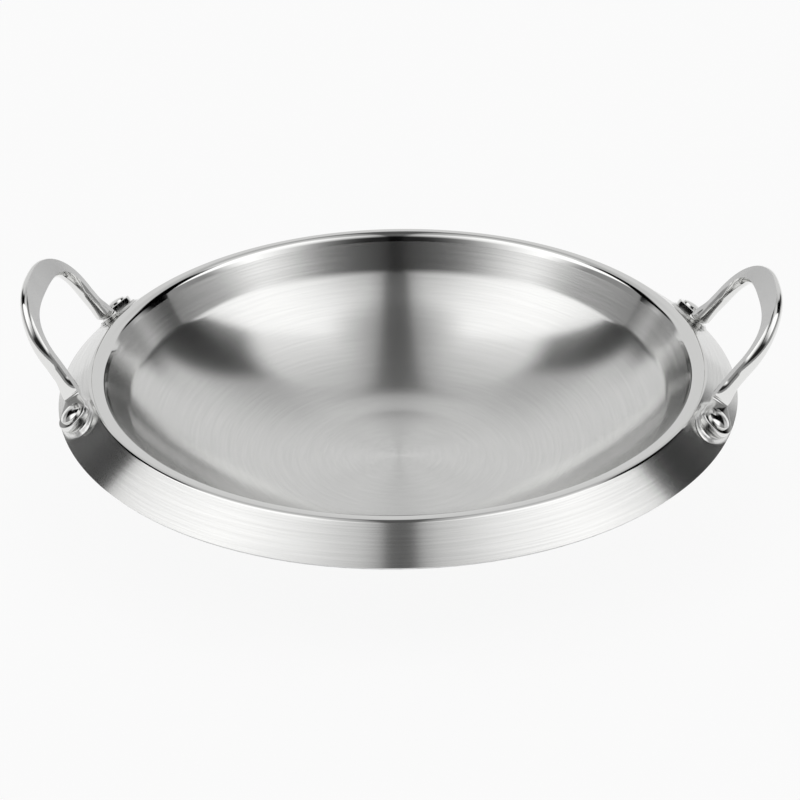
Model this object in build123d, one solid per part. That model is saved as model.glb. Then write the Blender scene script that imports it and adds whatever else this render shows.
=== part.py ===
from build123d import *
import math
import os

# Wide jeongol pan: a shallow pressed bowl with a polished rolled rim, a flared skirt outside it,
# and two forged loop handles, each held to the skirt by two rivets.
# Millimetres, +Z up. The origin is the centre of the base's underside, where the pan rests.
# The handles stand on the +X and -X sides.

# Bowl and skirt
rim_radius = 150.0          # where the rim's level top would meet the skirt's straight line
bowl_depth = 58.9           # from the rim's top down to the cooking surface
curve_radius = 100.0        # the first rise outside the flat base
curve_angle = 16.0          # slope where that rise ends
side_angle = 45.0           # slope of the bowl's side at its edge
edge_radius = 16.0          # the turn from the bowl's side up into the band
band_angle = 58.0           # slope of the steep band inside the rim
band_length = 17.3          # length of the band along its slope
roll_radius = 5.0           # the inner half of the rolled rim
rim_land = 1.4              # level top of the rim
ridge_radius = 3.5          # the outer half of the rolled rim
skirt_angle = 37.9          # slope of the skirt below level
skirt_length = 20.8         # along the slope, from the rim's sharp corner to the cut edge

# Clad sheet, three bonded plies
inner_ply = 0.4
core_ply = 1.0
outer_ply = 0.4

# Seats pressed up in the skirt for the handle feet
rivet_spacing = 113.4       # between the two rivets of one handle
rivet_up_skirt = 10.0       # from the skirt's cut edge up to the rivet's axis
seat_height = 1.3           # of the flat seat above the skirt, more than core_ply
seat_ramp = 45.0            # slope of the seat's side
seat_end_margin = 1.0       # seat foot beyond the pad, up and down the skirt
seat_side_margin = 4.0      # seat foot beyond the pad and the bend, along the skirt
seat_depth_below = 4.0      # how far the seat's cutting block reaches under the sheet
trim_depth = 12.0           # thickness of the ring that trims that block under the skirt

# Handle foot
pad_radius = 8.25           # the rounded tab round the rivet
pad_thickness = 3.5
pad_edge_round = 0.5
bend_inset = 12.4           # from the rivet's axis back to the middle of the bend line
bend_rise = 2.8             # the bend line's middle is this far up the skirt from the rivet
bend_radius = 1.2           # inside the bend, between the pad's face and the arm
bend_sink = 0.15            # the bar's skin lies this far inside the pad's end
bend_fullness = 2.2         # squareness of the bend's outside corner, 2 being an ellipse
bend_steps = 4              # sections round the bend

# Handle bow
right_lean = 53.7           # slope of the right bow's plane above level
left_lean = 59.0            # the left one stands a little steeper
bow_height = 43.3           # bend to the bar's centre at the grip, in the bow's plane
bow_shoulder = 15.0         # height where the straight arms end
bow_half_width = 39.1       # from the middle to the bar's centre at the shoulders
bow_fullness = 2.45         # exponent of the arch: 2 is an ellipse, more is squarer
arm_width = 7.4             # in the bow's plane
arm_flat = 4.2              # width of the flat on the arm's upper face
arm_thickness = 7.4
arm_stations = (0.2, 0.4, 0.6, 0.8, 1.0)    # sections up the arm, as shares of the way to the shoulder
arm_blend = 0.6             # share of that way over which the square foot turns into the round arm
back_share = 0.72           # width of the bar's back, as a share of its flat
back_round = 0.08           # roundness of the bar's back, as a share of its thickness
grip_width = 12.4
grip_flat = 11.6
grip_thickness = 5.0
grip_growth = 3.5           # more makes the bar widen nearer to the grip
arch_steps = 7              # sections from the shoulder to the middle of the grip
foot_thickness = 8.9        # length of the bend line
facet_bulge = 0.2           # roundness of the foot's nearly flat side over the pad
elbow_bulge = 3.0           # roundness of the bend's outside

# Rivets
rivet_shank = 6.0
rivet_clearance = 0.05      # round the shank in its holes
head_diameter = 11.7
head_height = 2.2
head_edge = 1.0             # height of the head's upright side
tail_diameter = 9.4
tail_height = 1.8
tail_edge = 0.8

sheet = inner_ply + core_ply + outer_ply
skirt_slope = math.radians(skirt_angle)
skirt_radius = rim_radius + skirt_length * math.cos(skirt_slope)
rim_top = sheet + bowl_depth
skirt_edge_z = rim_top - skirt_length * math.sin(skirt_slope)


def bowl_moves():
    """The cooking surface from the middle outward, as straight runs and turns (radius, degrees).

    The bowl's side takes the radius that reaches the depth, and the flat base what is left."""
    curve, side, band = [math.radians(angle) for angle in (curve_angle, side_angle, band_angle)]
    ridge_tangent = ridge_radius * math.tan(skirt_slope / 2)

    rise = curve_radius * (1 - math.cos(curve))
    rise += edge_radius * (math.cos(side) - math.cos(band))
    rise += band_length * math.sin(band)
    rise += roll_radius * (1 - math.cos(band))
    side_radius = (bowl_depth - rise) / (math.cos(curve) - math.cos(side))

    reach = curve_radius * math.sin(curve)
    reach += side_radius * (math.sin(side) - math.sin(curve))
    reach += edge_radius * (math.sin(band) - math.sin(side))
    reach += band_length * math.cos(band)
    reach += roll_radius * math.sin(band)
    reach += rim_land + ridge_tangent
    base = rim_radius - reach

    return [
        ("run", base, 0),
        ("turn", curve_radius, curve_angle),
        ("turn", side_radius, side_angle - curve_angle),
        ("turn", edge_radius, band_angle - side_angle),
        ("run", band_length, 0),
        ("turn", roll_radius, -band_angle),
        ("run", rim_land, 0),
        ("turn", ridge_radius, -skirt_angle),
        ("run", skirt_length - ridge_tangent, 0),
    ]


def surface_edges(depth):
    """The sheet's outline at a depth below the cooking surface, with its two end points."""
    point = Vector(0, 0, sheet - depth)
    start = point
    heading = 0.0
    edges = []
    for kind, size, turn in bowl_moves():
        if kind == "run":
            step = Vector(math.cos(heading), 0, math.sin(heading)) * size
            edges.append(Edge.make_line(point, point + step))
            point = point + step
            continue
        side = 1 if turn > 0 else -1
        radius = size + side * depth
        normal = Vector(-math.sin(heading), 0, math.cos(heading)) * side
        centre = point + normal * radius
        middle_heading = heading + math.radians(turn) / 2
        end_heading = heading + math.radians(turn)
        middle = centre - Vector(-math.sin(middle_heading), 0, math.cos(middle_heading)) * (side * radius)
        end = centre - Vector(-math.sin(end_heading), 0, math.cos(end_heading)) * (side * radius)
        edges.append(Edge.make_three_point_arc(point, middle, end))
        point = end
        heading = end_heading
    return edges, start, point


def plain_ply(top, bottom):
    """One ply of the sheet, turned about the pan's axis, before its seats are pressed."""
    upper, upper_start, upper_end = surface_edges(top)
    lower, lower_start, lower_end = surface_edges(bottom)
    closing = [Edge.make_line(upper_end, lower_end), Edge.make_line(lower_start, upper_start)]
    outline = Wire(upper + lower + closing)
    turned = revolve(Face(outline), Axis.Z, 360)
    # the seam where the turning starts and ends goes to +Y, clear of the seats
    return turned.rotate(Axis.Z, 90)


# Each seat has a frame of its own: its origin is on the rivet's axis at the flat seat's top,
# local X runs down the skirt, local Y along it away from the handle's middle, local Z out of it.
seat_line_radius = skirt_radius - rivet_up_skirt * math.cos(skirt_slope)
seat_turn = math.asin(rivet_spacing / 2 / seat_line_radius)
down_skirt = Vector(
    math.cos(skirt_slope) * math.cos(seat_turn),
    math.cos(skirt_slope) * math.sin(seat_turn),
    -math.sin(skirt_slope),
)
out_of_skirt = Vector(
    math.sin(skirt_slope) * math.cos(seat_turn),
    math.sin(skirt_slope) * math.sin(seat_turn),
    math.cos(skirt_slope),
)
along_skirt = Vector(-math.sin(seat_turn), math.cos(seat_turn), 0)
seat_foot = Vector(
    seat_line_radius * math.cos(seat_turn),
    seat_line_radius * math.sin(seat_turn),
    skirt_edge_z + rivet_up_skirt * math.sin(skirt_slope),
)
seat_plane = Plane(origin=seat_foot + out_of_skirt * seat_height, x_dir=down_skirt, z_dir=out_of_skirt)

# The bend line, where the pad's flat face ends and the bar turns up: it lies square to Y
bend_direction = Vector(out_of_skirt.Z, 0, -out_of_skirt.X).normalized()
bend_middle = (
    seat_foot
    + out_of_skirt * (seat_height + pad_thickness)
    - along_skirt * bend_inset
    - down_skirt * bend_rise
)
bend_up = Vector(out_of_skirt.X, 0, out_of_skirt.Z).normalized()
bend_turn = math.acos(out_of_skirt.Y)
bend_pivot = bend_middle + out_of_skirt * bend_radius


def placed(shape):
    """Moves a shape from the seat's frame to the pan's."""
    return seat_plane.location * shape


def four_times(shape):
    """The shape at +X +Y, and its copies at the other three seats."""
    mirrored = shape.mirror(Plane.XZ)
    return [shape, mirrored, shape.rotate(Axis.Z, 180), mirrored.rotate(Axis.Z, 180)]


def seat_block(depth):
    """A ramped block whose top and sides are the pressed seat's surface at a depth in the sheet."""
    ramp = math.radians(seat_ramp)
    shrink = depth / math.sin(ramp)
    down = seat_depth_below + seat_height
    spread = seat_depth_below / math.tan(ramp)
    half_across = pad_radius + seat_end_margin - shrink + spread
    inward = bend_inset + seat_side_margin
    outward = pad_radius + seat_side_margin
    half_along = (inward + outward) / 2 - shrink + spread
    middle = (outward - inward) / 2
    foot = Pos(0, middle, -down) * Ellipse(half_across, half_along)
    height = down - depth
    lost = height / math.tan(ramp)
    top = Pos(0, middle, -depth) * Ellipse(half_across - lost, half_along - lost)
    return placed(loft([foot, top], ruled=True))


def under_skirt(depth):
    """Everything near the skirt that lies below its surface at a depth, as a turned ring."""
    along = Vector(math.cos(skirt_slope), 0, -math.sin(skirt_slope))
    inside = Vector(-math.sin(skirt_slope), 0, -math.cos(skirt_slope))
    corner = Vector(rim_radius, 0, rim_top) + inside * depth
    reach = skirt_length / 2
    start = corner - along * reach
    end = corner + along * (skirt_length + reach)
    down = inside * trim_depth
    ring = Polyline(start, end, end + down, start + down, close=True)
    return revolve(make_face(ring), Axis.Z, 360)


def rivet_hole(diameter):
    """A cutter along the rivet's axis, longer than what it goes through."""
    reach = pad_thickness + seat_height + sheet + 2 * head_height
    return placed(Cylinder(diameter / 2, 2 * reach))


def sheet_ply(top, bottom):
    """One ply with its four pressed seats and their rivet holes."""
    lower = seat_block(bottom)
    cap = seat_block(top) - lower - under_skirt(bottom)
    ply = plain_ply(top, bottom) - four_times(lower)
    ply = ply + four_times(cap)
    return ply - four_times(rivet_hole(rivet_shank + 2 * rivet_clearance))


def bar_section(middle, across, through, thickness, inner, outer, rounding):
    """One cross-section of the bar: a flat upper face, two full sides and a rounded back.

    The sides are given as their distances from the middle at the flat, half way and at the back.
    """
    half = thickness / 2
    lower = half - rounding
    in_top, in_side, in_back = inner
    out_top, out_side, out_back = outer

    def at(x, y):
        return middle + across * x + through * y

    top = Edge.make_line(at(-out_top, half), at(in_top, half))
    right = Edge.make_three_point_arc(at(in_top, half), at(in_side, 0), at(in_back, -lower))
    keel = at((in_back - out_back) / 2, -half)
    bottom = Edge.make_three_point_arc(at(in_back, -lower), keel, at(-out_back, -lower))
    left = Edge.make_three_point_arc(at(-out_back, -lower), at(-out_side, 0), at(-out_top, half))
    return Face(Wire([top, right, bottom, left]))


def round_sides(width, flat):
    """A side of the round bar: its distances at the flat, half way and at the back."""
    return flat / 2, width / 2, flat / 2 * back_share


def mixed(start, end, share):
    """Values part of the way from one set to another."""
    return [a + (b - a) * share for a, b in zip(start, end)]


def foot_shape(width):
    """The square foot's sides: nearly flat over the pad, rounder on the outside of the bend."""
    half = width / 2
    bulge = elbow_bulge * width / arm_width
    inner = (half - facet_bulge, half, half - facet_bulge)
    outer = (half - bulge, half, half - bulge)
    return inner, outer


def bend_sections():
    """The bar's foot: sections turned about the bend from the pad's end up to the arm."""
    under = bend_radius + pad_thickness - bend_sink
    wall = bend_radius + arm_width
    sections = []
    for step in range(bend_steps + 1):
        turned = bend_turn * (1 - step / bend_steps)
        across = Vector(0, math.cos(turned), 0) + bend_up * math.sin(turned)
        # the outside of the bend is a rounded corner between the pad's underside and the arm's wall
        level = (math.cos(bend_turn - turned) / under) ** bend_fullness
        upright = (math.cos(turned) / wall) ** bend_fullness
        outside = (level + upright) ** (-1 / bend_fullness)
        inside = bend_radius + bend_sink * turned / bend_turn
        middle = bend_pivot - across * ((inside + outside) / 2)
        inner, outer = foot_shape(outside - inside)
        thickness = foot_thickness - 2 * bend_sink
        sections.append(
            bar_section(middle, across, -bend_direction, thickness, inner, outer, facet_bulge)
        )
    return sections


def arm_sections(lean):
    """The bar from the top of its square foot up to the shoulder, turning round on the way."""
    foot_y = bend_pivot.Y - bend_radius - arm_width / 2
    foot_inner, foot_outer = foot_shape(arm_width)
    round_side = round_sides(arm_width, arm_flat)
    sections = []
    for share in arm_stations:
        y = foot_y + (bow_half_width - foot_y) * share
        blend = min(share / arm_blend, 1)
        ease = blend * blend * (3 - 2 * blend)
        through = -bend_direction * (1 - ease) + bow_through(lean) * ease
        thickness = foot_thickness + (arm_thickness - foot_thickness) * ease
        rounding = facet_bulge + (arm_thickness * back_round - facet_bulge) * ease
        sections.append(
            bar_section(
                bow_point(lean, y, bow_shoulder * share), Vector(0, 1, 0), through.normalized(),
                thickness, mixed(foot_inner, round_side, ease), mixed(foot_outer, round_side, ease),
                rounding,
            )
        )
    return sections


def bow_through(lean):
    """Direction from the bar's back to its flat face, square to the bow's plane."""
    slope = math.radians(lean)
    return Vector(-math.sin(slope), 0, math.cos(slope))


def bow_point(lean, y, height):
    slope = math.radians(lean)
    base = Vector(bend_pivot.X, 0, bend_pivot.Z)
    return base + Vector(math.cos(slope) * height, y, math.sin(slope) * height)


def arch_sections(lean):
    """The bar from the shoulder over to the middle of the grip."""
    slope = math.radians(lean)
    up_vector = Vector(math.cos(slope), 0, math.sin(slope))
    arch = bow_height - bow_shoulder
    power = 2 / bow_fullness
    sections = []
    for step in range(1, arch_steps + 1):
        angle = math.pi / 2 * step / arch_steps
        y = bow_half_width * max(math.cos(angle), 0) ** power
        rise = math.sin(angle) ** power
        # the outward normal of the arch, in the bow's plane
        side = (y / bow_half_width) ** (bow_fullness - 1) / bow_half_width
        up = rise ** (bow_fullness - 1) / arch
        size = math.hypot(side, up)
        across = Vector(0, side / size, 0) + up_vector * (up / size)
        swell = math.sin(angle) ** grip_growth
        sides = round_sides(
            arm_width + (grip_width - arm_width) * swell,
            arm_flat + (grip_flat - arm_flat) * swell,
        )
        thickness = arm_thickness + (grip_thickness - arm_thickness) * swell
        sections.append(
            bar_section(
                bow_point(lean, y, bow_shoulder + arch * rise), across, bow_through(lean),
                thickness, sides, sides, thickness * back_round,
            )
        )
    return sections


def pad():
    """The flat tab that lies on the seat: round at the rivet, narrowing to the bend line."""
    half = bend_direction * (foot_thickness / 2)
    upper, lower = [seat_plane.to_local_coords(end) for end in (bend_middle - half, bend_middle + half)]

    def touching(corner, side):
        """Where the tab's edge from a corner meets the round end."""
        bearing = math.atan2(corner.Y, corner.X)
        angle = bearing + side * math.acos(pad_radius / math.hypot(corner.X, corner.Y))
        return Vector(math.cos(angle), math.sin(angle)) * pad_radius

    upper_corner = Vector(upper.X, upper.Y)
    lower_corner = Vector(lower.X, lower.Y)
    upper_touch = touching(upper_corner, -1)
    lower_touch = touching(lower_corner, 1)
    outline = Wire([
        Edge.make_line(upper_corner, lower_corner),
        Edge.make_line(lower_corner, lower_touch),
        Edge.make_three_point_arc(lower_touch, Vector(0, pad_radius), upper_touch),
        Edge.make_line(upper_touch, upper_corner),
    ])
    tab = extrude(Face(outline), pad_thickness, dir=(0, 0, 1))
    top_edges = tab.edges().group_by(Axis.Z)[-1]
    tab = fillet([e for e in top_edges if e.center().Y > upper_corner.Y], pad_edge_round)
    return placed(tab)


def handle(lean):
    """One handle, forged in a single piece from pad to pad, with its bow at a given slope."""
    half = bend_sections() + arm_sections(lean) + arch_sections(lean)
    other_half = [face.mirror(Plane.XZ) for face in reversed(half[:-1])]
    bar = loft(half + other_half)
    tab = pad()
    hole = rivet_hole(rivet_shank + 2 * rivet_clearance)
    forged = bar + tab + tab.mirror(Plane.XZ)
    return forged - hole - hole.mirror(Plane.XZ)


def rivet():
    """A round-headed rivet through the pad and the sheet, with its set tail under the skirt."""
    top = pad_thickness
    under = -sheet
    shank = rivet_shank / 2
    head = head_diameter / 2
    tail = tail_diameter / 2
    crown = head_height - head_edge
    sag = tail_height - tail_edge
    head_round = (head ** 2 + crown ** 2) / (2 * crown)
    tail_round = (tail ** 2 + sag ** 2) / (2 * sag)

    def dome(radius, half_width, peak, direction):
        x = half_width / 2
        drop = radius - math.sqrt(radius ** 2 - x ** 2)
        return Vector(x, 0, peak - direction * drop)

    peak = Vector(0, 0, top + head_height)
    shoulder = Vector(head, 0, top + head_edge)
    heel = Vector(tail, 0, under - tail_edge)
    toe = Vector(0, 0, under - tail_height)
    edges = [
        Edge.make_three_point_arc(peak, dome(head_round, head, peak.Z, 1), shoulder),
        Edge.make_line(shoulder, Vector(head, 0, top)),
        Edge.make_line(Vector(head, 0, top), Vector(shank, 0, top)),
        Edge.make_line(Vector(shank, 0, top), Vector(shank, 0, under)),
        Edge.make_line(Vector(shank, 0, under), Vector(tail, 0, under)),
        Edge.make_line(Vector(tail, 0, under), heel),
        Edge.make_three_point_arc(heel, dome(tail_round, tail, toe.Z, -1), toe),
        Edge.make_line(toe, peak),
    ]
    return placed(revolve(Face(Wire(edges)), Axis.Z, 360))


def save(shape, name):
    os.makedirs("parts", exist_ok=True)
    export_step(shape, "parts/" + name + ".step")


save(sheet_ply(0, inner_ply), "inner_ply")
save(sheet_ply(inner_ply, inner_ply + core_ply), "aluminium_core")
save(sheet_ply(inner_ply + core_ply, sheet), "outer_ply")

save(handle(right_lean), "right_handle")
save(handle(left_lean).rotate(Axis.Z, 180), "left_handle")

rivet_names = ["right_rear_rivet", "right_front_rivet", "left_front_rivet", "left_rear_rivet"]
for name, shape in zip(rivet_names, four_times(rivet())):
    save(shape, name)
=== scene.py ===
import math

import bpy
import numpy as np
from mathutils import Matrix, Vector


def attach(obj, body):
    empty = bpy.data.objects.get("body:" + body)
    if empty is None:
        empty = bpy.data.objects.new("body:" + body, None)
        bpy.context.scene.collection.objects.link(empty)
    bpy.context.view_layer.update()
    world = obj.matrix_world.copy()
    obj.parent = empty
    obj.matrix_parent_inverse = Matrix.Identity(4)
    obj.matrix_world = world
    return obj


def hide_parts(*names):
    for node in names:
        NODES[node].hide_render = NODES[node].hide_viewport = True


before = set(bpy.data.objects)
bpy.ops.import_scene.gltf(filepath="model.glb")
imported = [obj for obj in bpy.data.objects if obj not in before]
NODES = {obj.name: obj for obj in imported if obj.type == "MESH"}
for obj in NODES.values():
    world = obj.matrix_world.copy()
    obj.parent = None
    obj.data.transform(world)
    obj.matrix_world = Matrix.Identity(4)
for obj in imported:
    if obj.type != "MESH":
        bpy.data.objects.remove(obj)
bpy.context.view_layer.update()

MM = 0.001

# The pan's driving sizes in millimetres and degrees, as in the CAD
SHEET, INNER_PLY = 1.8, 0.4
RIM_RADIUS, BOWL_DEPTH = 150.0, 58.9
CURVE_RADIUS, CURVE_ANGLE = 100.0, 16.0
SIDE_ANGLE, EDGE_RADIUS = 45.0, 16.0
BAND_ANGLE, BAND_LENGTH = 58.0, 17.3
POLISHED_BAND = 2.2                 # the band's top, polished with the rim
ROLL_RADIUS, RIM_LAND, RIDGE_RADIUS = 5.0, 1.4, 3.5
SKIRT_ANGLE, SKIRT_LENGTH = 37.9, 20.8
RIVET_SPACING, RIVET_UP_SKIRT = 113.4, 10.0
SEAT_HEIGHT, SEAT_END, SEAT_SIDE, SEAT_RAMP = 1.3, 1.0, 4.0, 45.0
PAD_RADIUS, PAD_THICKNESS = 8.25, 3.5
BEND_INSET, BEND_RISE, BEND_RADIUS, BEND_SINK = 12.4, 2.8, 1.2, 0.15
BEND_FULLNESS = 2.2
LEANS = {"right": 53.7, "left": 59.0}
BOW_HEIGHT, BOW_SHOULDER, BOW_HALF_WIDTH, BOW_FULLNESS = 43.3, 15.0, 39.1, 2.45
ARM_WIDTH, ARM_FLAT, ARM_THICKNESS, ARM_BLEND = 7.4, 4.2, 7.4, 0.6
BACK_SHARE, BACK_ROUND = 0.72, 0.08
GRIP_WIDTH, GRIP_FLAT, GRIP_THICKNESS, GRIP_GROWTH = 12.4, 11.6, 5.0, 3.5
FOOT_THICKNESS, FACET_BULGE, ELBOW_BULGE = 8.9, 0.2, 3.0
PAD_EDGE_ROUND, PAD_FOOT_ROUND = 0.5, 0.25
SHANK_RADIUS, RIVET_CLEARANCE = 3.0, 0.05
HEAD_DIAMETER, HEAD_HEIGHT, HEAD_EDGE, HEAD_ROUND = 11.7, 2.2, 1.0, 0.3
TAIL_DIAMETER, TAIL_HEIGHT, TAIL_EDGE = 9.4, 1.8, 0.8

SKIRT_SLOPE = math.radians(SKIRT_ANGLE)
SKIRT_RADIUS = RIM_RADIUS + SKIRT_LENGTH * math.cos(SKIRT_SLOPE)
RIM_TOP = SHEET + BOWL_DEPTH
SKIRT_EDGE_Z = RIM_TOP - SKIRT_LENGTH * math.sin(SKIRT_SLOPE)


# The camera has the photograph's own view, fitted from the rim and the skirt
CAMERA_AZIMUTH = 2.8                # degrees
CAMERA_DISTANCE = 0.8939008         # metres


def swung(first, second, angle):
    """Two directions turned in their own plane, the first one towards the second."""
    return (first * math.cos(angle) + second * math.sin(angle),
            second * math.cos(angle) - first * math.sin(angle))


def make_camera():
    """Looks at the middle of the skirt's edge; elevation, pan, tilt and roll are in radians."""
    elevation, azimuth = 0.5017, math.radians(CAMERA_AZIMUTH)
    pan, tilt, roll = 0.0010, -0.0134, -0.0162
    forward = Vector((0, math.cos(elevation), -math.sin(elevation)))
    right = Vector((1, 0, 0))
    up = right.cross(forward)
    forward, right = swung(forward, right, pan)
    forward, up = swung(forward, up, tilt)
    right, up = swung(right, up, roll)
    place = Vector((0, -math.cos(elevation), math.sin(elevation))) * CAMERA_DISTANCE
    turn = Matrix.Rotation(azimuth, 3, "Z")
    columns = [turn @ right, turn @ up, turn @ -forward]
    pose = Matrix([[columns[c][r] for c in range(3)] for r in range(3)]).to_4x4()
    pose.translation = turn @ place + Vector((0, 0, SKIRT_EDGE_Z * MM))
    data = bpy.data.cameras.new("camera")
    data.lens, data.sensor_width = 81.0, 36.0
    data.clip_start, data.clip_end = 0.01, 20.0
    camera = bpy.data.objects.new("camera", data)
    camera.matrix_world = pose
    bpy.context.scene.collection.objects.link(camera)
    bpy.context.scene.camera = camera


# The studio, with 1 for white, angles in degrees, and places on the ceiling in ceiling heights.
# Bearings count from the camera's side, 0, round to 180 behind the pan.
BOX_LEVEL = 1.33
BOX_FRONT, BOX_FRONT_SLANT = (-1.07, 0.334), 0.59
BOX_OUTER_SIDE = (1.391, 2.055)
BOX_REAR_END, BOX_END_SOFTNESS = (113.5, 105.3), 0.4        # of the left and of the right box
SIDE_GLOW_BEARING, SIDE_GLOW = (30.0, 60.0), (0.02, 0.29)
OVERHEAD_HEIGHT = (49.4, 57.7)
OVERHEAD_BEARING, OVERHEAD_LEVEL = (95.0, 180.0), (0.94, 0.518)
WALL_BEARING, WALL_SLANT, WALL_SLANT_FROM, WALL_SOFTNESS = 128.4, 0.299, 20.0, 4.5
WALL_FOOT_HEIGHT, WALL_FOOT_SHIFT = (21.0, 29.0), 8.5
WALL_Z, WALL_LEVEL = (0.5, 0.95), (0.737, 0.412)
HORIZON_HEIGHT = (10.5, 16.0)
FRONT_HORIZON, SIDE_HORIZON, REAR_HORIZON = 0.3, 0.65, 0.32
SIDE_HORIZON_BEARING, REAR_HORIZON_BEARING = (70.0, 90.0), (121.0, 129.0)
ZENITH_Z, ZENITH_LEVEL = (0.95, 1.0), 0.47
GAP_LEVEL, GAP_CORE, GAP_EDGE = 0.21, (0.045, 0.085), (0.03, 0.17)
GAP_END_BEARING, GAP_END_Z = (100.0, 150.0), (0.70, 0.85)
LOWEST_Z = 0.05                     # keeps the division by height finite
BACKDROP_LEVEL = 0.955
FLOOR_HALF_SIZE, FLOOR_DROP = 3.0, 0.0002
FLOOR_COLOUR, FLOOR_WHITE_SHARE = 0.95, 0.9


class Nodes:
    """Short calls for building one node tree."""

    def __init__(self, tree):
        self.tree = tree
        tree.nodes.clear()

    def add(self, kind, **settings):
        node = self.tree.nodes.new(kind)
        for key, value in settings.items():
            setattr(node, key, value)
        return node

    def put(self, socket, value):
        if isinstance(value, bpy.types.NodeSocket):
            self.tree.links.new(value, socket)
        elif value is not None:
            socket.default_value = value

    def math(self, kind, a, b=None, c=None):
        node = self.add("ShaderNodeMath", operation=kind)
        for socket, value in zip(node.inputs, (a, b, c)):
            self.put(socket, value)
        return node.outputs[0]

    def step(self, value, low, high, out_low=0.0, out_high=1.0):
        node = self.add("ShaderNodeMapRange", interpolation_type="SMOOTHSTEP")
        for name, item in (("Value", value), ("From Min", low), ("From Max", high),
                           ("To Min", out_low), ("To Max", out_high)):
            self.put(node.inputs[name], item)
        return node.outputs[0]

    def mix(self, share, a, b):
        node = self.add("ShaderNodeMix", data_type="FLOAT")
        self.put(node.inputs[0], share)
        self.put(node.inputs[2], a)
        self.put(node.inputs[3], b)
        return node.outputs[0]

    def mix_colour(self, share, a, b):
        node = self.add("ShaderNodeMix", data_type="RGBA")
        self.put(node.inputs[0], share)
        self.put(node.inputs[6], a)
        self.put(node.inputs[7], b)
        return node.outputs[2]

    def xyz(self, vector):
        node = self.add("ShaderNodeSeparateXYZ")
        self.put(node.inputs[0], vector)
        return node.outputs

    def vector(self, x, y, z):
        node = self.add("ShaderNodeCombineXYZ")
        for socket, value in zip(node.inputs, (x, y, z)):
            self.put(socket, value)
        return node.outputs[0]

    def noise(self, vector, scale, detail=2.0, roughness=0.5):
        node = self.add("ShaderNodeTexNoise")
        self.put(node.inputs["Vector"], vector)
        for name, value in (("Scale", scale), ("Detail", detail), ("Roughness", roughness)):
            node.inputs[name].default_value = value
        return node.outputs[0]

    def bump(self, height, strength, distance):
        node = self.add("ShaderNodeBump")
        self.put(node.inputs["Height"], height)
        node.inputs["Strength"].default_value = strength
        node.inputs["Distance"].default_value = distance
        return node.outputs[0]

    def output(self, owner, shader, kind="ShaderNodeOutputMaterial"):
        """Ends the tree and hands back what it belongs to."""
        self.put(self.add(kind).inputs[0], shader.outputs[0])
        return owner


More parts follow.
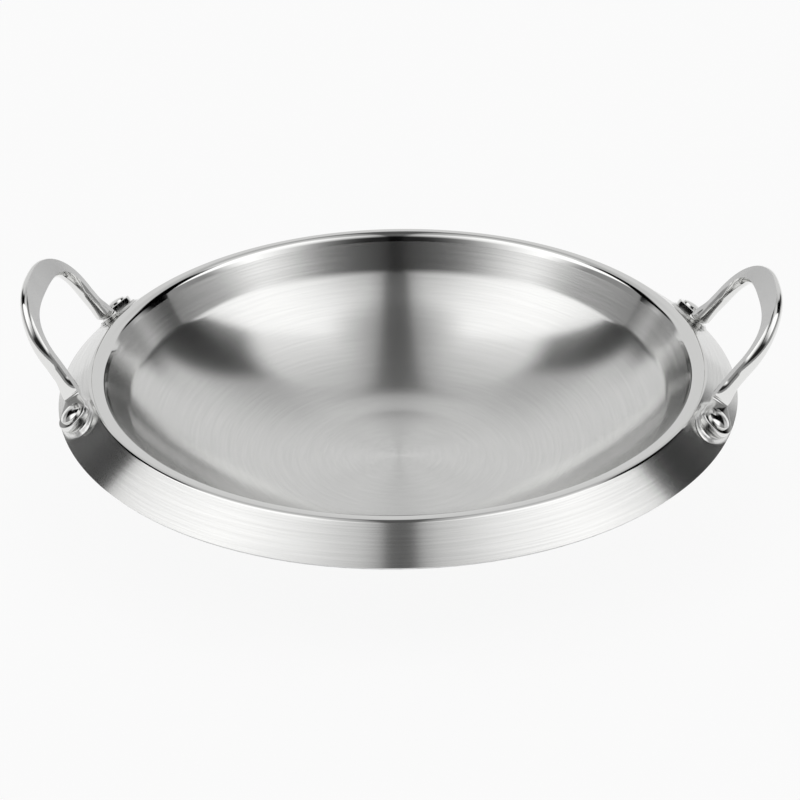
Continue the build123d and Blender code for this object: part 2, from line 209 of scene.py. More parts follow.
def make_world():
    """A studio: two soft boxes overhead, left and right, with a narrow dark gap between them.

    The camera's own side is dark, and so is a patch low down behind each box. A pale wall stands behind
    the pan, and a low pale horizon at its sides."""
    world = bpy.data.worlds.new("studio")
    bpy.context.scene.world = world
    world.use_nodes = True
    n = Nodes(world.node_tree)
    x, y, z = n.xyz(n.add("ShaderNodeTexCoord").outputs["Generated"])
    turn = math.radians(CAMERA_AZIMUTH)
    across = n.math("ADD", n.math("MULTIPLY", x, math.cos(turn)), n.math("MULTIPLY", y, math.sin(turn)))
    away = n.math("SUBTRACT", n.math("MULTIPLY", y, math.cos(turn)), n.math("MULTIPLY", x, math.sin(turn)))
    side = n.math("ABSOLUTE", across)
    bearing = n.math("DEGREES", n.math("ARCTAN2", side, n.math("MULTIPLY", away, -1.0)))
    height = n.math("DEGREES", n.math("ARCSINE", z))
    safe = n.math("MAXIMUM", z, LOWEST_Z)
    # the ceiling plane, where the soft boxes hang
    plan_x, plan_y = n.math("DIVIDE", side, safe), n.math("DIVIDE", away, safe)

    low_side = n.step(bearing, *SIDE_GLOW_BEARING, *SIDE_GLOW)
    front_line = n.math("MULTIPLY_ADD", plan_x, BOX_FRONT_SLANT, plan_y)
    panel = n.math("MULTIPLY", n.step(front_line, *BOX_FRONT), n.step(plan_x, *BOX_OUTER_SIDE, 1.0, 0.0))
    box = n.mix(panel, low_side, BOX_LEVEL)
    past_end = n.math("SUBTRACT", bearing, n.step(across, -0.05, 0.05, *BOX_REAR_END))
    front = n.step(past_end, -BOX_END_SOFTNESS, BOX_END_SOFTNESS, 1.0, 0.0)

    overhead = n.math("MULTIPLY", n.step(height, *OVERHEAD_HEIGHT),
                      n.step(bearing, *OVERHEAD_BEARING, *OVERHEAD_LEVEL))
    above = n.math("SUBTRACT", n.math("MAXIMUM", height, WALL_SLANT_FROM), WALL_SLANT_FROM)
    wall_edge = n.math("ADD", n.math("MULTIPLY_ADD", above, WALL_SLANT, WALL_BEARING),
                       n.step(height, *WALL_FOOT_HEIGHT, WALL_FOOT_SHIFT, 0.0))
    wall = n.math("MULTIPLY", n.step(n.math("SUBTRACT", bearing, wall_edge), -WALL_SOFTNESS, WALL_SOFTNESS),
                  n.step(z, *WALL_Z, *WALL_LEVEL))
    level = n.mix(front, n.math("MAXIMUM", overhead, wall), box)

    glow = n.mix(n.step(bearing, *REAR_HORIZON_BEARING),
                 n.step(bearing, *SIDE_HORIZON_BEARING, FRONT_HORIZON, SIDE_HORIZON), REAR_HORIZON)
    horizon = n.math("MULTIPLY", n.step(height, *HORIZON_HEIGHT, 1.0, 0.0), glow)
    level = n.math("MAXIMUM", level, horizon)
    level = n.mix(n.step(z, *ZENITH_Z), level, ZENITH_LEVEL)

    behind = n.math("MULTIPLY", n.step(bearing, *GAP_END_BEARING), n.step(z, *GAP_END_Z, 1.0, 0.0))
    core = n.mix(0.5, n.step(plan_x, *GAP_CORE), n.step(plan_x, *GAP_EDGE))
    gap = n.math("MAXIMUM", n.mix(core, GAP_LEVEL, 1.0), behind)
    level = n.math("MULTIPLY", level, gap)
    background = n.add("ShaderNodeBackground")
    background.inputs["Color"].default_value = (1, 1, 1, 1)
    n.put(background.inputs["Strength"], level)
    backdrop = n.add("ShaderNodeBackground")
    backdrop.inputs["Color"].default_value = (BACKDROP_LEVEL, BACKDROP_LEVEL, BACKDROP_LEVEL, 1)
    mixed = n.add("ShaderNodeMixShader")
    n.put(mixed.inputs[0], n.add("ShaderNodeLightPath").outputs["Is Camera Ray"])
    n.put(mixed.inputs[1], background.outputs[0])
    n.put(mixed.inputs[2], backdrop.outputs[0])
    n.output(world, mixed, "ShaderNodeOutputWorld")


def make_floor():
    """A plain pale floor that keeps a soft shadow."""
    mesh = bpy.data.meshes.new("floor")
    corners = [(x * FLOOR_HALF_SIZE, y * FLOOR_HALF_SIZE, 0)
               for x, y in ((-1, -1), (1, -1), (1, 1), (-1, 1))]
    mesh.from_pydata(corners, [], [(0, 1, 2, 3)])
    floor = bpy.data.objects.new("floor", mesh)
    floor.location.z = -FLOOR_DROP
    bpy.context.scene.collection.objects.link(floor)
    material = bpy.data.materials.new("floor_paper")
    material.use_nodes = True
    n = Nodes(material.node_tree)
    rays = n.add("ShaderNodeLightPath")
    seen = n.math("MAXIMUM", rays.outputs["Is Camera Ray"], rays.outputs["Is Glossy Ray"])
    seen = n.math("MAXIMUM", seen, rays.outputs["Is Transmission Ray"])
    paper = n.add("ShaderNodeBsdfDiffuse")
    paper.inputs["Color"].default_value = (FLOOR_COLOUR, FLOOR_COLOUR, FLOOR_COLOUR, 1)
    glow = n.add("ShaderNodeEmission")
    glow.inputs["Color"].default_value = (1, 1, 1, 1)
    mixed = n.add("ShaderNodeMixShader")
    n.put(mixed.inputs[0], n.math("MULTIPLY", seen, FLOOR_WHITE_SHARE))
    n.put(mixed.inputs[1], paper.outputs[0])
    n.put(mixed.inputs[2], glow.outputs[0])
    mesh.materials.append(n.output(material, mixed))


# Materials
STEEL = (0.80, 0.80, 0.79)
SATIN_STEEL = (0.64, 0.64, 0.635)
EDGE_STEEL, BASE_STEEL, ALUMINIUM = (0.62, 0.62, 0.61), (0.72, 0.72, 0.71), (0.70, 0.70, 0.71)
FINE_SCRATCHES, BASE_SCRATCHES = (0.1316, 0.741), (0.32, 0.85)      # roughness, anisotropy
DEEP_SHARE, DEEP_ROUGHNESS = 0.4, 0.2515
ROUND_THE_AXIS = 0.25               # turns the radial tangent into the scratches' direction
GRIP_REACH = (0.026, 0.040)         # metres from the grip's middle where the satin gives way to gloss


def new_metal(name):
    """A material with one metallic shader, and the place on the object."""
    material = bpy.data.materials.new(name)
    material.use_nodes = True
    n = Nodes(material.node_tree)
    shader = n.add("ShaderNodeBsdfPrincipled")
    shader.inputs["Metallic"].default_value = 1.0
    return material, n, shader, n.add("ShaderNodeTexCoord").outputs["Object"]


def shaded(colour, factor):
    return tuple(c * factor for c in colour) + (1,)


def brushed_metal(name, colour, scratches, streak, deep=True, relief=0.0, outside=False):
    """Bare metal with brushing that runs round the pan's axis."""
    material, n, shader, place = new_metal(name)
    roughness, anisotropy = scratches
    x, y, z = n.xyz(place)
    radius = n.math("SQRT", n.math("ADD", n.math("MULTIPLY", x, x), n.math("MULTIPLY", y, y)))
    along = n.math("SUBTRACT" if outside else "ADD", radius, z)
    shader.inputs["Anisotropic"].default_value = anisotropy
    shader.inputs["Anisotropic Rotation"].default_value = ROUND_THE_AXIS
    tangent = n.add("ShaderNodeTangent", direction_type="RADIAL", axis="Z")
    n.put(shader.inputs["Tangent"], tangent.outputs[0])
    safe = n.math("MAXIMUM", radius, 0.0005)
    cosine, sine = n.math("DIVIDE", x, safe), n.math("DIVIDE", y, safe)

    def lines(length, pitch):
        """Streaks that run round the axis, shorter and narrower with larger numbers."""
        return n.noise(n.vector(n.math("MULTIPLY", cosine, length), n.math("MULTIPLY", sine, length),
                                n.math("MULTIPLY", along, pitch)), 1.0, 2.0, 0.6)

    grind = n.mix(0.5, lines(4.0, 2400.0), lines(2.6, 800.0))
    n.put(shader.inputs["Roughness"], n.step(n.mix(0.3, grind, lines(1.5, 350.0)), 0.3, 0.7,
                                             roughness * 0.93, roughness * 1.07))
    tone = n.mix_colour(n.step(grind, 0.32, 0.68), shaded(colour, 1 - streak), shaded(colour, 1))
    n.put(shader.inputs["Base Color"], tone)
    if relief:
        n.put(shader.inputs["Normal"], n.bump(grind, relief, 0.00004))
    if not deep:
        return n.output(material, shader)

    # the deepest scratches spread the light further across them
    rough = n.add("ShaderNodeBsdfPrincipled")
    for socket, value in (("Metallic", 1.0), ("Roughness", DEEP_ROUGHNESS), ("Anisotropic", 1.0),
                          ("Anisotropic Rotation", ROUND_THE_AXIS)):
        rough.inputs[socket].default_value = value
    n.put(rough.inputs["Tangent"], tangent.outputs[0])
    n.put(rough.inputs["Base Color"], tone)
    both = n.add("ShaderNodeMixShader")
    both.inputs[0].default_value = DEEP_SHARE
    n.put(both.inputs[1], shader.outputs[0])
    n.put(both.inputs[2], rough.outputs[0])
    return n.output(material, both)


def polished_metal(name, colour, roughness, wear):
    """Bare metal without brushing, slightly worn here and there."""
    material, n, shader, place = new_metal(name)
    worn = n.noise(place, 140.0, 3.0, 0.6)
    n.put(shader.inputs["Roughness"], n.step(worn, 0.3, 0.75, roughness * 0.8, roughness * 1.3))
    n.put(shader.inputs["Base Color"], n.mix_colour(worn, shaded(colour, 1 - wear), shaded(colour, 1)))
    return n.output(material, shader)


def satin_flat(name, colour):
    """The bar's upper flat: satin over the grip, glossier down the arms."""
    material, n, shader, place = new_metal(name)
    down_arm = n.step(n.math("ABSOLUTE", n.xyz(place)[1]), *GRIP_REACH)
    grit = n.noise(place, 2600.0, 2.0)
    mottle = n.mix(0.5, grit, n.noise(place, 120.0, 3.0, 0.6))
    n.put(shader.inputs["Roughness"], n.mix(down_arm, n.step(mottle, 0.3, 0.7, 0.27, 0.36), 0.16))
    n.put(shader.inputs["Base Color"], n.mix_colour(mottle, shaded(colour, 0.93), shaded(colour, 1.07)))
    relief = n.math("MULTIPLY", grit, n.math("SUBTRACT", 1.0, down_arm))
    n.put(shader.inputs["Normal"], n.bump(relief, 0.15, 0.00002))
    return n.output(material, shader)


# The sheet's profile
def bowl_moves():
    """The cooking surface from the middle outward: (kind, size, turn in degrees, zone)."""
    curve, side, band = [math.radians(angle) for angle in (CURVE_ANGLE, SIDE_ANGLE, BAND_ANGLE)]
    ridge_tangent = RIDGE_RADIUS * math.tan(SKIRT_SLOPE / 2)
    rise = (CURVE_RADIUS * (1 - math.cos(curve)) + EDGE_RADIUS * (math.cos(side) - math.cos(band))
            + BAND_LENGTH * math.sin(band) + ROLL_RADIUS * (1 - math.cos(band)))
    side_radius = (BOWL_DEPTH - rise) / (math.cos(curve) - math.cos(side))
    reach = (CURVE_RADIUS * math.sin(curve) + side_radius * (math.sin(side) - math.sin(curve))
             + EDGE_RADIUS * (math.sin(band) - math.sin(side)) + BAND_LENGTH * math.cos(band)
             + ROLL_RADIUS * math.sin(band) + RIM_LAND + ridge_tangent)
    return [
        ("run", RIM_RADIUS - reach, 0, "bowl"),
        ("turn", CURVE_RADIUS, CURVE_ANGLE, "bowl"),
        ("turn", side_radius, SIDE_ANGLE - CURVE_ANGLE, "bowl"),
        ("turn", EDGE_RADIUS, BAND_ANGLE - SIDE_ANGLE, "bowl"),
        ("run", BAND_LENGTH - POLISHED_BAND, 0, "band"),
        ("run", POLISHED_BAND, 0, "rim"),
        ("turn", ROLL_RADIUS, -BAND_ANGLE, "rim"),
        ("run", RIM_LAND, 0, "rim"),
        ("turn", RIDGE_RADIUS, -SKIRT_ANGLE, "rim"),
        ("run", SKIRT_LENGTH - ridge_tangent, 0, "skirt"),
    ]


SKIRT_PITCH, TURN_PITCH = 0.5, 3.0


def surface_points(depth, run_pitch, turn_step):
    """Points (radius, height, zone) of the surface at a depth below the cooking surface."""
    r, z, heading = 0.0, SHEET - depth, 0.0
    points = [(0.0, z, "bowl")]
    for kind, size, turn, zone in bowl_moves():
        if kind == "run":
            steps = max(1, math.ceil(size / (SKIRT_PITCH if zone == "skirt" else run_pitch)))
            for i in range(1, steps + 1):
                points.append((r + math.cos(heading) * size * i / steps,
                               z + math.sin(heading) * size * i / steps, zone))
            r, z = points[-1][:2]
            continue
        side = 1 if turn > 0 else -1
        radius = size + side * depth
        centre = (r - math.sin(heading) * side * radius, z + math.cos(heading) * side * radius)
        arc_length = math.radians(abs(turn)) * radius
        steps = max(3, math.ceil(abs(turn) / turn_step), math.ceil(arc_length / TURN_PITCH))
        for i in range(1, steps + 1):
            angle = heading + math.radians(turn) * i / steps
            points.append((centre[0] + math.sin(angle) * side * radius,
                           centre[1] - math.cos(angle) * side * radius, zone))
        r, z = points[-1][:2]
        heading += math.radians(turn)
    return points


# The right rear seat's own directions
SEAT_LINE = SKIRT_RADIUS - RIVET_UP_SKIRT * math.cos(SKIRT_SLOPE)
SEAT_TURN = math.asin(RIVET_SPACING / 2 / SEAT_LINE)
SEAT_OUTWARD = np.array([math.cos(SEAT_TURN), math.sin(SEAT_TURN), 0.0])
UP = np.array([0.0, 0.0, 1.0])
DOWN_SKIRT = SEAT_OUTWARD * math.cos(SKIRT_SLOPE) - UP * math.sin(SKIRT_SLOPE)
OUT_OF_SKIRT = SEAT_OUTWARD * math.sin(SKIRT_SLOPE) + UP * math.cos(SKIRT_SLOPE)
ALONG_SKIRT = np.array([-math.sin(SEAT_TURN), math.cos(SEAT_TURN), 0.0])
SEAT_FOOT = SEAT_OUTWARD * SEAT_LINE + UP * (SKIRT_EDGE_Z + RIVET_UP_SKIRT * math.sin(SKIRT_SLOPE))
SEAT_TOP = SEAT_FOOT + OUT_OF_SKIRT * SEAT_HEIGHT
SEAT_MIRRORS = [np.array([sx, sy, 1.0]) for sx in (1, -1) for sy in (1, -1)]
SEAT_REACH, SEAT_TO_RIM = (14, 22, 8), 1.5      # only points this near to a seat are raised
SEAT_TOP_ROUND, SEAT_FOOT_ROUND, SEAT_LEAST_LIFT = 0.55, 0.5, 0.02


def grown_ellipse(x, y, a, b):
    """How much an ellipse's half axes grow until it passes through a point; negative inside."""
    low = np.full_like(x, -min(a, b) * 0.98)
    high = np.hypot(x, y) + 1.0
    for _ in range(40):
        mid = (low + high) / 2
        outside = (x / (a + mid)) ** 2 + (y / (b + mid)) ** 2 > 1
        low = np.where(outside, mid, low)
        high = np.where(outside, high, mid)
    return (low + high) / 2


def press_seats(points, depth):
    """Raises the points of a surface at a depth to the four pressed seats, with rounded edges."""
    points = points.copy()
    inward, outward = BEND_INSET + SEAT_SIDE, PAD_RADIUS + SEAT_SIDE
    shrink = depth / math.sin(math.radians(SEAT_RAMP))
    half_x = PAD_RADIUS + SEAT_END - SEAT_HEIGHT - shrink + depth
    half_y = (inward + outward) / 2 - SEAT_HEIGHT - shrink + depth
    middle = (outward - inward) / 2
    for mirror in SEAT_MIRRORS:
        local = points * mirror - SEAT_TOP
        x, y, z = local @ DOWN_SKIRT, local @ ALONG_SKIRT, local @ OUT_OF_SKIRT
        near = ((np.abs(x) < SEAT_REACH[0]) & (np.abs(y - middle) < SEAT_REACH[1]) & (z > -SEAT_REACH[2])
                & (points[:, 2] < RIM_TOP - SEAT_TO_RIM))
        if not near.any():
            continue
        growth = grown_ellipse(x[near], y[near] - middle, half_x, half_y)
        soft = SEAT_TOP_ROUND
        top = -depth - (growth + np.sqrt(growth ** 2 + soft ** 2)) / 2
        top = top + soft / 2 * np.exp(-np.abs(growth) / soft)
        ground = z[near]
        raised = (top + ground + np.sqrt((top - ground) ** 2 + SEAT_FOOT_ROUND ** 2)) / 2
        lift = np.maximum(raised - ground - SEAT_LEAST_LIFT, 0.0)
        points[near] += (OUT_OF_SKIRT * mirror)[None, :] * lift[:, None]
    return points


def seat_angles():
    """Angles round the pan in radians, dense where the seats are."""
    angles = list(np.radians(np.arange(0, 360, 1.0)))
    seat_reach, seat_pitch, seat_lean, least_gap = 8.5, 0.22, 0.8, math.radians(0.12)
    for mirror in SEAT_MIRRORS:
        middle = math.atan2(math.sin(SEAT_TURN) * mirror[1], math.cos(SEAT_TURN) * mirror[0])
        lean = -1 if mirror[0] * mirror[1] > 0 else 1
        for offset in np.arange(-seat_reach, seat_reach + 0.01, seat_pitch):
            angles.append((middle + math.radians(offset + lean * seat_lean)) % (2 * math.pi))
    angles = np.array(sorted(angles))
    keep = [angles[0]]
    for angle in angles[1:]:
        if angle - keep[-1] > least_gap:
            keep.append(angle)
    return np.array(keep)


def link(name, mesh, node):
    """Puts a piece in the scene in place of a CAD node."""
    piece = bpy.data.objects.new(name, mesh)
    bpy.context.scene.collection.objects.link(piece)
    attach(piece, "root")
    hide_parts(node)


def make_skin(materials):
    """The inner skin: cooking surface, steep band, polished rim, skirt and seats, 0.4 mm thick."""
    upper, lower = surface_points(0.0, 3.0, 2.5), surface_points(INNER_PLY, 6.0, 6.0)
    angles = seat_angles()
    cosine, sine = np.cos(angles), np.sin(angles)
    vertices, faces, zones = [], [], []

    count, rims = len(angles), []
    for points, depth in ((upper, 0.0), (lower, INNER_PLY)):
        profile = np.array([(p[0], p[1]) for p in points[1:]])
        grid = np.stack([np.outer(profile[:, 0], cosine), np.outer(profile[:, 0], sine),
                         np.repeat(profile[:, 1:2], count, axis=1)], axis=-1)
        middle = len(vertices)
        vertices.append((0.0, 0.0, points[0][1]))
        vertices.extend(map(tuple, press_seats(grid.reshape(-1, 3), depth)))
        for ring in range(len(points) - 1):
            b = middle + 1 + ring * count
            a = b - count
            for i in range(count):
                j = (i + 1) % count
                face = (a + i, b + i, b + j, a + j) if ring else (middle, b + i, b + j)
                faces.append(face[::-1] if depth else face)
                zones.append("under" if depth else points[ring + 1][2])
        rims.append(len(vertices) - count)
    edge, other = rims
    for i in range(count):
        j = (i + 1) % count
        faces.append((edge + i, other + i, other + j, edge + j))
        zones.append("edge")
    mesh = bpy.data.meshes.new("pan_inner_skin")
    mesh.from_pydata([tuple(c * MM for c in v) for v in vertices], [], faces)
    order = ["bowl", "band", "rim", "skirt", "under", "edge"]
    for zone in order:
        mesh.materials.append(materials[zone])
    mesh.polygons.foreach_set("material_index", [order.index(z) for z in zones])
    mesh.polygons.foreach_set("use_smooth", [True] * len(faces))
    mesh.update()
    mesh.set_sharp_from_angle(angle=math.radians(50))
    link("pan_inner_skin", mesh, "inner_ply")


# Handles
BEND_DIRECTION = np.array([OUT_OF_SKIRT[2], 0, -OUT_OF_SKIRT[0]])
BEND_DIRECTION /= np.linalg.norm(BEND_DIRECTION)
BEND_MIDDLE = (SEAT_FOOT + OUT_OF_SKIRT * (SEAT_HEIGHT + PAD_THICKNESS) - ALONG_SKIRT * BEND_INSET
               - DOWN_SKIRT * BEND_RISE)
BEND_UP = np.array([OUT_OF_SKIRT[0], 0, OUT_OF_SKIRT[2]])
BEND_UP /= np.linalg.norm(BEND_UP)
BEND_TURN = math.acos(OUT_OF_SKIRT[1])
BEND_PIVOT = BEND_MIDDLE + OUT_OF_SKIRT * BEND_RADIUS
UNIT_Y = np.array([0.0, 1.0, 0.0])
FLAT_STEPS, SIDE_STEPS, BACK_STEPS = 8, 12, 8       # faces round the bar
BEND_STEPS, ARM_STEPS, ARCH_STEPS = 14, 22, 60      # rings along half the bar
PAD_SIDE_STEPS, PAD_ROUND_STEPS = 6, 48             # faces along each straight side and round the tab
QUARTER_TURN = [math.pi / 2 * i / 4 for i in range(5)]


def three_point_arc(a, b, c, steps):
    """Points of the circle's arc from a through b to c, without a."""
    a, b, c = (np.array(p, float) for p in (a, b, c))
    d = 2 * (a[0] * (b[1] - c[1]) + b[0] * (c[1] - a[1]) + c[0] * (a[1] - b[1]))
    if abs(d) < 1e-9:
        return [a + (c - a) * i / steps for i in range(1, steps + 1)]
    ux = ((a @ a) * (b[1] - c[1]) + (b @ b) * (c[1] - a[1]) + (c @ c) * (a[1] - b[1])) / d
    uy = ((a @ a) * (c[0] - b[0]) + (b @ b) * (a[0] - c[0]) + (c @ c) * (b[0] - a[0])) / d
    centre = np.array([ux, uy])
    radius = np.linalg.norm(a - centre)
    start = math.atan2(a[1] - uy, a[0] - ux)
    through = math.atan2(b[1] - uy, b[0] - ux)
    end = math.atan2(c[1] - uy, c[0] - ux)
    turn = (end - start) % (2 * math.pi)
    if (through - start) % (2 * math.pi) > turn:
        turn -= 2 * math.pi
    angles = [start + turn * i / steps for i in range(1, steps + 1)]
    return [centre + radius * np.array([math.cos(angle), math.sin(angle)]) for angle in angles]


def bar_section(middle, across, through, thickness, inner, outer, rounding):
    """One ring of points round the bar: the flat, the inner side, the back and the outer side."""
    half = thickness / 2
    lower = half - rounding
    flat = inner[0] + outer[0]
    ring = [np.array([-outer[0] + flat * i / FLAT_STEPS, half]) for i in range(FLAT_STEPS + 1)]
    ring += three_point_arc((inner[0], half), (inner[1], 0), (inner[2], -lower), SIDE_STEPS)
    back = ((inner[2] - outer[2]) / 2, -half)
    ring += three_point_arc((inner[2], -lower), back, (-outer[2], -lower), BACK_STEPS)
    ring += three_point_arc((-outer[2], -lower), (-outer[1], 0), (-outer[0], half), SIDE_STEPS)[:-1]
    return [middle + across * p[0] + through * p[1] for p in ring]


def round_sides(width, flat):
    return np.array([flat / 2, width / 2, flat / 2 * BACK_SHARE])


def foot_shape(width):
    half = width / 2
    bulge = ELBOW_BULGE * width / ARM_WIDTH
    return (np.array([half - FACET_BULGE, half, half - FACET_BULGE]),
            np.array([half - bulge, half, half - bulge]))


def bow_through(lean):
    return np.array([-math.sin(lean), 0, math.cos(lean)])


def bow_point(lean, y, height):
    return np.array([BEND_PIVOT[0] + math.cos(lean) * height, y, BEND_PIVOT[2] + math.sin(lean) * height])


def half_bar(lean):
    """Rings from the pad's end up to the middle of the grip."""
    rings = []
    under, wall = BEND_RADIUS + PAD_THICKNESS - BEND_SINK, BEND_RADIUS + ARM_WIDTH
    for step in range(BEND_STEPS):
        turned = BEND_TURN * (1 - step / BEND_STEPS)
        across = UNIT_Y * math.cos(turned) + BEND_UP * math.sin(turned)
        level = (math.cos(BEND_TURN - turned) / under) ** BEND_FULLNESS
        upright = (math.cos(turned) / wall) ** BEND_FULLNESS
        outside = (level + upright) ** (-1 / BEND_FULLNESS)
        inside = BEND_RADIUS + BEND_SINK * turned / BEND_TURN
        inner, outer = foot_shape(outside - inside)
        rings.append(bar_section(BEND_PIVOT - across * ((inside + outside) / 2), across, -BEND_DIRECTION,
                                 FOOT_THICKNESS - 2 * BEND_SINK, inner, outer, FACET_BULGE))
    foot_y = BEND_PIVOT[1] - BEND_RADIUS - ARM_WIDTH / 2
    foot_inner, foot_outer = foot_shape(ARM_WIDTH)
    round_side = round_sides(ARM_WIDTH, ARM_FLAT)
    for step in range(ARM_STEPS + 1):
        share = step / ARM_STEPS
        y = foot_y + (BOW_HALF_WIDTH - foot_y) * share
        blend = min(share / ARM_BLEND, 1)
        ease = blend * blend * (3 - 2 * blend)
        through = -BEND_DIRECTION * (1 - ease) + bow_through(lean) * ease
        through /= np.linalg.norm(through)
        thickness = (FOOT_THICKNESS - 2 * BEND_SINK) * (1 - ease) + ARM_THICKNESS * ease
        rounding = FACET_BULGE + (ARM_THICKNESS * BACK_ROUND - FACET_BULGE) * ease
        rings.append(bar_section(bow_point(lean, y, BOW_SHOULDER * share), UNIT_Y, through, thickness,
                                 foot_inner + (round_side - foot_inner) * ease,
                                 foot_outer + (round_side - foot_outer) * ease, rounding))
    up_vector = np.array([math.cos(lean), 0, math.sin(lean)])
    arch = BOW_HEIGHT - BOW_SHOULDER
    power = 2 / BOW_FULLNESS
    for step in range(1, ARCH_STEPS + 1):
        angle = math.pi / 2 * step / ARCH_STEPS
        y = BOW_HALF_WIDTH * max(math.cos(angle), 0) ** power
        rise = math.sin(angle) ** power
        side = (y / BOW_HALF_WIDTH) ** (BOW_FULLNESS - 1) / BOW_HALF_WIDTH
        up = rise ** (BOW_FULLNESS - 1) / arch
        size = math.hypot(side, up)
        across = UNIT_Y * (side / size) + up_vector * (up / size)
        swell = math.sin(angle) ** GRIP_GROWTH
        sides = round_sides(ARM_WIDTH + (GRIP_WIDTH - ARM_WIDTH) * swell,
                            ARM_FLAT + (GRIP_FLAT - ARM_FLAT) * swell)
        thickness = ARM_THICKNESS + (GRIP_THICKNESS - ARM_THICKNESS) * swell
        rings.append(bar_section(bow_point(lean, y, BOW_SHOULDER + arch * rise), across, bow_through(lean),
                                 thickness, sides, sides, thickness * BACK_ROUND))
    return rings


def make_bar(lean):
    """The whole bar as a mesh, from one pad's end to the other's."""
    half = half_bar(lean)
    mirrored = [[p * np.array([1, -1, 1]) for p in ring] for ring in reversed(half[:-1])]
    rings = half + mirrored
    count = len(rings[0])
    vertices = [tuple(p * MM) for ring in rings for p in ring]
    faces, flats = [], []
    for k in range(len(rings) - 1):
        for i in range(count):
            j = (i + 1) % count
            faces.append((k * count + i, k * count + j, (k + 1) * count + j, (k + 1) * count + i))
            flats.append(i < FLAT_STEPS)
    faces.append(tuple(range(count)))
    faces.append(tuple(reversed(range((len(rings) - 1) * count, len(rings) * count))))
    flats += [False, False]
    return vertices, faces, flats


def seat_point(x, y, z):
    """A point given in the right rear seat's own frame."""
    return SEAT_TOP + DOWN_SKIRT * x + ALONG_SKIRT * y + OUT_OF_SKIRT * z


def pad_outline():
    """The tab's outline in the seat's frame, as (x, y, inward x, inward y)."""
    half = BEND_DIRECTION * (FOOT_THICKNESS / 2)
    upper, lower = [np.array([(end - SEAT_TOP) @ DOWN_SKIRT, (end - SEAT_TOP) @ ALONG_SKIRT])
                    for end in (BEND_MIDDLE - half, BEND_MIDDLE + half)]

    def touching(corner, side):
        return math.atan2(corner[1], corner[0]) + side * math.acos(PAD_RADIUS / np.linalg.norm(corner))

    first, last = touching(lower, 1), touching(upper, -1)
    last = first + (last - first) % (2 * math.pi)
    ends = [PAD_RADIUS * np.array([math.cos(a), math.sin(a)]) for a in (first, last)]
    along_end = (lower - upper) / np.linalg.norm(lower - upper)
    rows = [(*upper, *along_end)]
    inner_steps = range(1, PAD_SIDE_STEPS)
    rows += [(*(upper + (lower - upper) * i / PAD_SIDE_STEPS), 0.0, 0.0) for i in inner_steps]
    rows += [(*lower, *-along_end)]
    rows += [(*(lower + (ends[0] - lower) * i / PAD_SIDE_STEPS), -math.cos(first), -math.sin(first))
             for i in inner_steps]
    for i in range(PAD_ROUND_STEPS + 1):
        angle = first + (last - first) * i / PAD_ROUND_STEPS
        x, y = math.cos(angle), math.sin(angle)
        rows.append((PAD_RADIUS * x, PAD_RADIUS * y, -x, -y))
    rows += [(*(ends[1] + (upper - ends[1]) * i / PAD_SIDE_STEPS), -math.cos(last), -math.sin(last))
             for i in inner_steps]
    return np.array(rows)


def make_pad():
    """One tab with rounded edges and its rivet hole: points and faces."""
    outline = pad_outline()
    count = len(outline)
    levels = [(PAD_FOOT_ROUND * (1 - math.sin(a)), PAD_FOOT_ROUND * (1 - math.cos(a)))
              for a in QUARTER_TURN]
    levels += [(PAD_EDGE_ROUND * (1 - math.cos(a)), PAD_THICKNESS - PAD_EDGE_ROUND * (1 - math.sin(a)))
               for a in QUARTER_TURN]
    points = [seat_point(x + inward_x * inset, y + inward_y * inset, z)
              for inset, z in levels for x, y, inward_x, inward_y in outline]
    hole = SHANK_RADIUS + RIVET_CLEARANCE
    for z in (PAD_THICKNESS, 0.0):
        for x, y in outline[:, :2]:
            reach = math.hypot(x, y)
            points.append(seat_point(x / reach * hole, y / reach * hole, z))
    rings = len(levels) + 2
    faces = []
    for k in range(rings):
        a, b = k * count, (k + 1) % rings * count
        for i in range(count):
            j = (i + 1) % count
            faces.append((a + i, a + j, b + j, b + i))
    return points, faces


def make_handle(side, polished, satin):
    """One forged handle: the bar and its two tabs."""
    vertices, faces, flats = make_bar(math.radians(LEANS[side]))
    points, pad_faces = make_pad()
    for mirror in (1, -1):
        start = len(vertices)
        vertices += [tuple(p * np.array([1, mirror, 1]) * MM) for p in points]
        for face in pad_faces:
            face = tuple(start + i for i in face)
            faces.append(face if mirror == 1 else face[::-1])
            flats.append(False)
    mesh = bpy.data.meshes.new(side + "_handle_forging")
    mesh.from_pydata(vertices, [], faces)
    mesh.materials.append(polished)
    mesh.materials.append(satin)
    mesh.polygons.foreach_set("material_index", [1 if flat else 0 for flat in flats])
    mesh.polygons.foreach_set("use_smooth", [True] * len(faces))
    if side == "left":
        mesh.transform(Matrix.Rotation(math.pi, 4, "Z"))
    mesh.update()
    mesh.set_sharp_from_angle(angle=math.radians(32))
    link(side + "_handle_forging", mesh, side + "_handle")


DOME_STEPS, RIVET_FACES = 14, 64


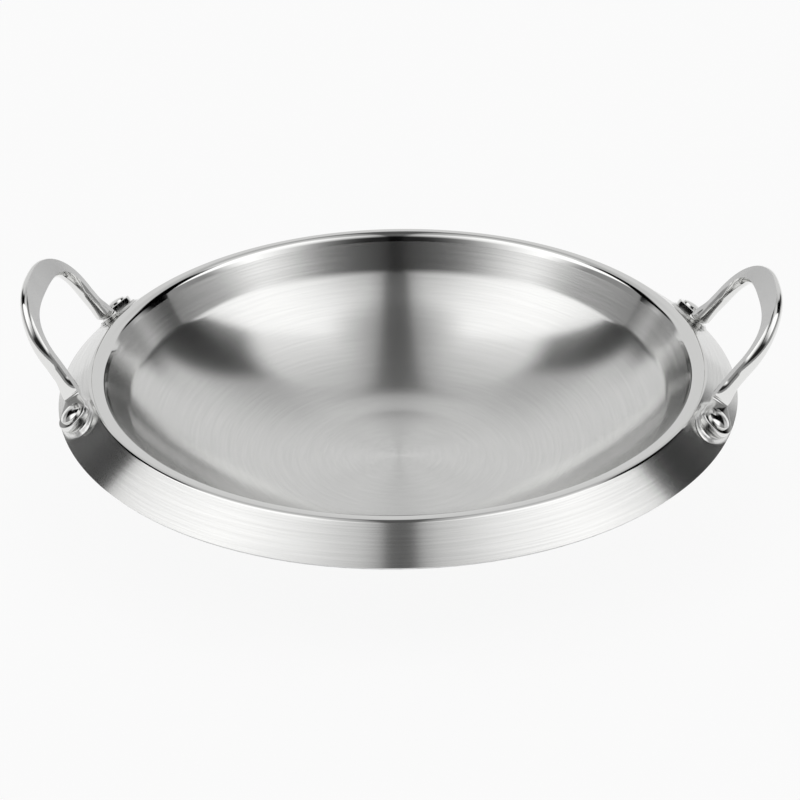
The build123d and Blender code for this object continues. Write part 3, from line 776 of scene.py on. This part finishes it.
def rivet_profile():
    """Radius and height of a rivet's outline, from the crown down to the set tail's middle."""
    head, tail, shank = HEAD_DIAMETER / 2, TAIL_DIAMETER / 2, SHANK_RADIUS
    crown, sag = HEAD_HEIGHT - HEAD_EDGE, TAIL_HEIGHT - TAIL_EDGE

    def dome(half_width, rise, base, direction):
        radius = (half_width ** 2 + rise ** 2) / (2 * rise)
        reach = math.asin((half_width - HEAD_ROUND) / radius)
        angles = [reach * i / DOME_STEPS for i in range(DOME_STEPS + 1)]
        return [(radius * math.sin(angle), base + direction * (rise - radius * (1 - math.cos(angle))))
                for angle in angles]

    rows = dome(head, crown, PAD_THICKNESS + HEAD_EDGE, 1)
    low = PAD_THICKNESS + HEAD_EDGE - HEAD_ROUND
    drop = rows[-1][1] - low
    rows += [(head - HEAD_ROUND * (1 - math.sin(angle)), low + drop * math.cos(angle))
             for angle in QUARTER_TURN[1:]]
    rows += [(head, PAD_THICKNESS), (shank, PAD_THICKNESS), (shank, -SHEET), (tail, -SHEET)]
    under = dome(tail, sag, -SHEET - TAIL_EDGE, -1)
    rows += [(tail, -SHEET - TAIL_EDGE + HEAD_ROUND / 2)] + under[::-1]
    return rows


def make_rivet(name, mirror, material):
    """One rivet, turned about its seat's axis."""
    rows = rivet_profile()
    count = RIVET_FACES
    points, faces = [seat_point(0, 0, rows[0][1])], []
    for radius, height in rows[1:-1]:
        for i in range(count):
            angle = 2 * math.pi * i / count
            points.append(seat_point(radius * math.cos(angle), radius * math.sin(angle), height))
    points.append(seat_point(0, 0, rows[-1][1]))
    for i in range(count):
        j = (i + 1) % count
        faces.append((0, 1 + i, 1 + j))
        for k in range(len(rows) - 3):
            a, b = 1 + k * count, 1 + (k + 1) * count
            faces.append((a + i, b + i, b + j, a + j))
        last = 1 + (len(rows) - 3) * count
        faces.append((last + i, len(points) - 1, last + j))
    if mirror[0] * mirror[1] < 0:
        faces = [face[::-1] for face in faces]
    mesh = bpy.data.meshes.new(name + "_turned")
    mesh.from_pydata([tuple(p * mirror * MM) for p in points], [], faces)
    mesh.materials.append(material)
    mesh.polygons.foreach_set("use_smooth", [True] * len(faces))
    mesh.update()
    mesh.set_sharp_from_angle(angle=math.radians(40))
    link(name + "_turned", mesh, name)


def main():
    bpy.context.scene.view_settings.view_transform = "Standard"
    make_camera()
    make_world()
    make_floor()
    mirror_steel = polished_metal("mirror_steel", STEEL, 0.09, 0.03)
    core_edge = polished_metal("core_edge", ALUMINIUM, 0.45, 0.1)
    brushed_base = brushed_metal("brushed_base", BASE_STEEL, BASE_SCRATCHES, 0.12, deep=False, relief=0.25)
    make_skin({"bowl": brushed_metal("brushed_bowl", STEEL, FINE_SCRATCHES, 0.06),
               "band": brushed_metal("brushed_band", STEEL, FINE_SCRATCHES, 0.12),
               "rim": polished_metal("polished_rim", STEEL, 0.06, 0.02),
               "skirt": brushed_metal("brushed_skirt", STEEL, FINE_SCRATCHES, 0.12, outside=True),
               "under": brushed_base,
               "edge": polished_metal("cut_edge", EDGE_STEEL, 0.35, 0.1)})
    satin_steel = satin_flat("satin_steel", SATIN_STEEL)
    for side in ("right", "left"):
        make_handle(side, mirror_steel, satin_steel)
    for name, place in (("right_rear_rivet", (1, 1)), ("right_front_rivet", (1, -1)),
                        ("left_front_rivet", (-1, -1)), ("left_rear_rivet", (-1, 1))):
        make_rivet(name, np.array([*place, 1]), mirror_steel)
    for name, finish in (("aluminium_core", core_edge), ("outer_ply", brushed_base)):
        for slot in NODES[name].material_slots:
            slot.material = finish


main()
